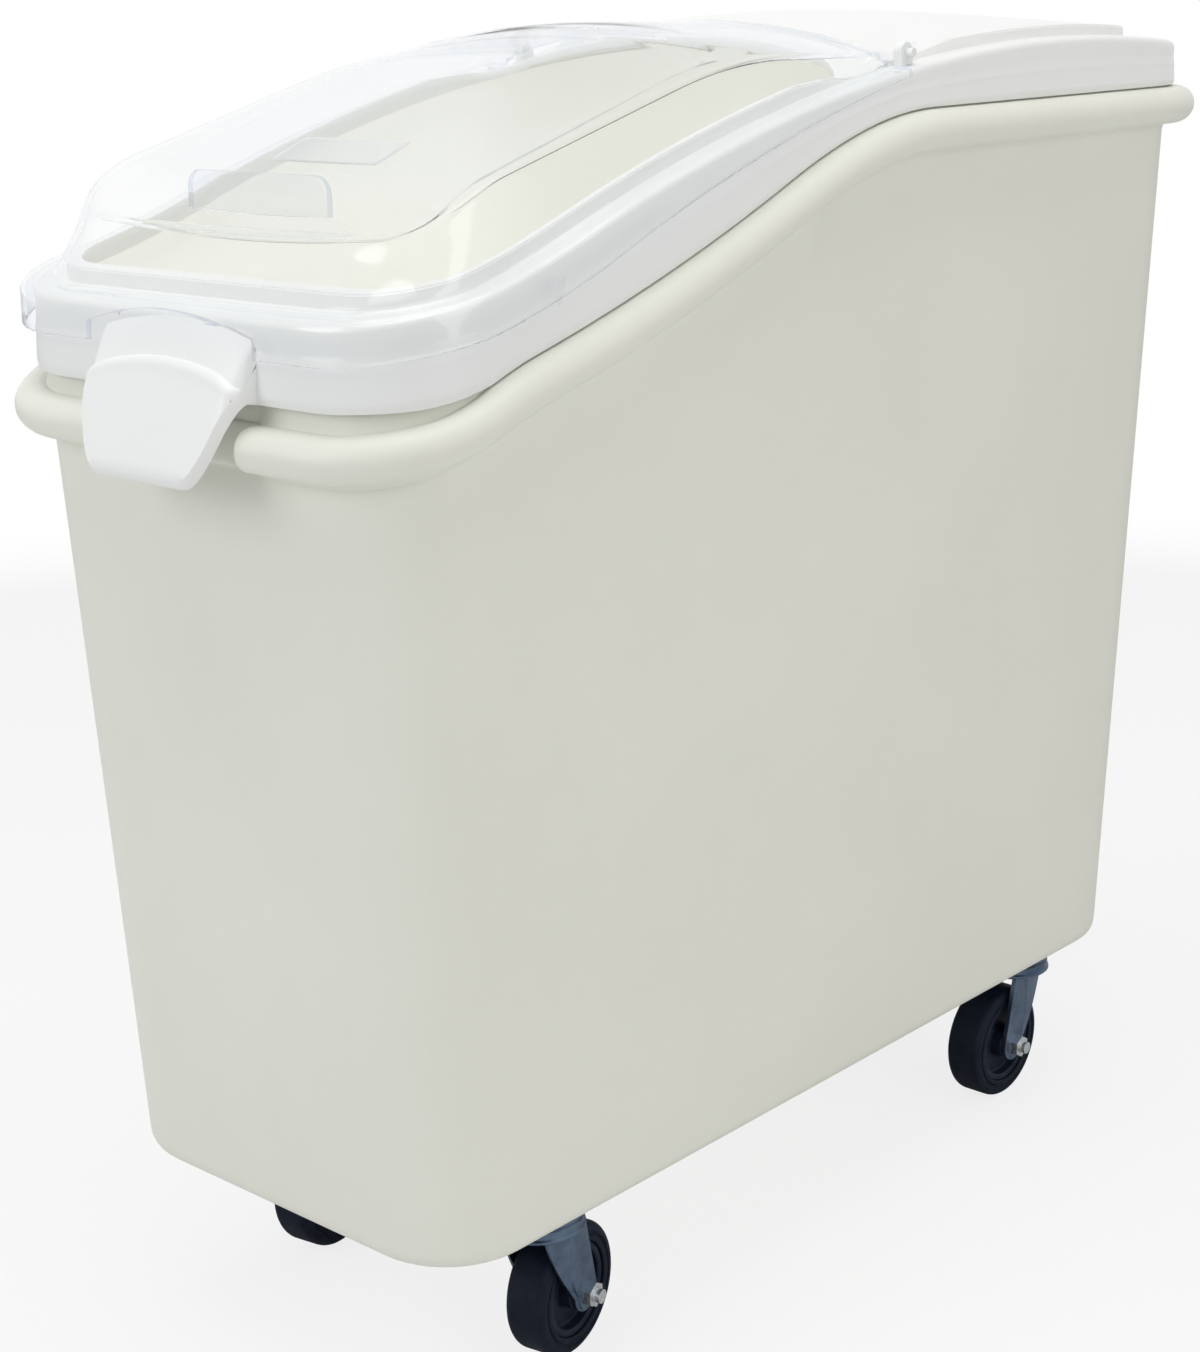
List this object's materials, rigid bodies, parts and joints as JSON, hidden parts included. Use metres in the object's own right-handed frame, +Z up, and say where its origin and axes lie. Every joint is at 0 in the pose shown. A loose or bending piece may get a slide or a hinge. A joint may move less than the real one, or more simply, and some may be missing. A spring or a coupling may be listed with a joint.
{
  "type": "rolling ingredient bin",
  "caption": "Narrow slope-topped ingredient bin on swivel casters, with a lift-off white lid frame, a front pull and a clear hinged dome lid.",
  "frame": {"origin": "on the floor, under the middle of the part's box", "axes": "+X to the right of a person facing the front pull, +Y from the pull to the rear, +Z up"},
  "size_m": [0.33, 0.7606, 0.7167],
  "materials": {
    "ivory_polyethylene": "satin moulded",
    "white_plastic": "satin moulded",
    "clear_plastic": "clear polished moulding",
    "zinc_plate": "zinc plated, bluish",
    "zinc_fastener": "zinc plated",
    "bearing_steel": "polished",
    "wheel_plastic": "moulded",
    "wheel_rubber": "matt moulded"
  },
  "bodies": {
    "bin": {"bin_tub": "ivory_polyethylene", "plate_screws": "zinc_fastener", "screw_washers": "zinc_fastener", "screw_nuts": "zinc_fastener", "front_left_plate": "zinc_plate", "front_left_kingpin": "zinc_plate", "front_right_plate": "zinc_plate", "front_right_kingpin": "zinc_plate", "rear_left_plate": "zinc_plate", "rear_left_kingpin": "zinc_plate", "rear_right_plate": "zinc_plate", "rear_right_kingpin": "zinc_plate"},
    "frame": {"lid_frame": "white_plastic", "lid_pivot_left": "white_plastic", "lid_pivot_right": "white_plastic"},
    "lid": {"clear_lid": "clear_plastic", "finger_fin": "clear_plastic", "lid_ear_left": "clear_plastic", "lid_ear_right": "clear_plastic"},
    "front_left_swivel": {"front_left_fork": "zinc_plate", "front_left_balls": "bearing_steel", "front_left_axle_sleeve": "bearing_steel", "front_left_axle_bolt": "zinc_fastener", "front_left_axle_nut": "zinc_fastener"},
    "front_left_wheel": {"front_left_wheel_core": "wheel_plastic", "front_left_tyre": "wheel_rubber"},
    "front_right_swivel": {"front_right_fork": "zinc_plate", "front_right_balls": "bearing_steel", "front_right_axle_sleeve": "bearing_steel", "front_right_axle_bolt": "zinc_fastener", "front_right_axle_nut": "zinc_fastener"},
    "front_right_wheel": {"front_right_wheel_core": "wheel_plastic", "front_right_tyre": "wheel_rubber"},
    "rear_left_swivel": {"rear_left_fork": "zinc_plate", "rear_left_balls": "bearing_steel", "rear_left_axle_sleeve": "bearing_steel", "rear_left_axle_bolt": "zinc_fastener", "rear_left_axle_nut": "zinc_fastener"},
    "rear_left_wheel": {"rear_left_wheel_core": "wheel_plastic", "rear_left_tyre": "wheel_rubber"},
    "rear_right_swivel": {"rear_right_fork": "zinc_plate", "rear_right_balls": "bearing_steel", "rear_right_axle_sleeve": "bearing_steel", "rear_right_axle_bolt": "zinc_fastener", "rear_right_axle_nut": "zinc_fastener"},
    "rear_right_wheel": {"rear_right_wheel_core": "wheel_plastic", "rear_right_tyre": "wheel_rubber"}
  },
  "joints": [
    {"name": "frame_lift", "type": "slide", "parent": "bin", "child": "frame", "axis": [0, 0, 1], "range_m": [0, 0.12]},
    {"name": "lid_hinge", "type": "hinge", "parent": "frame", "child": "lid", "pos_m": [0, 0.04475, 0.69472], "axis": [-1, 0, 0], "range_deg": [0, 70]},
    {"name": "front_left_swivel", "type": "hinge", "parent": "bin", "child": "front_left_swivel", "pos_m": [-0.0955, -0.21425, 0.09], "axis": [0, 0, 1], "continuous": true},
    {"name": "front_left_spin", "type": "hinge", "parent": "front_left_swivel", "child": "front_left_wheel", "pos_m": [-0.09897, -0.19455, 0.038], "axis": [0.9848, 0.1736, 0], "continuous": true},
    {"name": "front_right_swivel", "type": "hinge", "parent": "bin", "child": "front_right_swivel", "pos_m": [0.0955, -0.21425, 0.09], "axis": [0, 0, 1], "continuous": true},
    {"name": "front_right_spin", "type": "hinge", "parent": "front_right_swivel", "child": "front_right_wheel", "pos_m": [0.09203, -0.19455, 0.038], "axis": [0.9848, 0.1736, 0], "continuous": true},
    {"name": "rear_left_swivel", "type": "hinge", "parent": "bin", "child": "rear_left_swivel", "pos_m": [-0.0955, 0.25975, 0.09], "axis": [0, 0, 1], "continuous": true},
    {"name": "rear_left_spin", "type": "hinge", "parent": "rear_left_swivel", "child": "rear_left_wheel", "pos_m": [-0.0955, 0.23975, 0.038], "axis": [1, 0, 0], "continuous": true},
    {"name": "rear_right_swivel", "type": "hinge", "parent": "bin", "child": "rear_right_swivel", "pos_m": [0.0955, 0.25975, 0.09], "axis": [0, 0, 1], "continuous": true},
    {"name": "rear_right_spin", "type": "hinge", "parent": "rear_right_swivel", "child": "rear_right_wheel", "pos_m": [0.0955, 0.23975, 0.038], "axis": [1, 0, 0], "continuous": true}
  ]
}
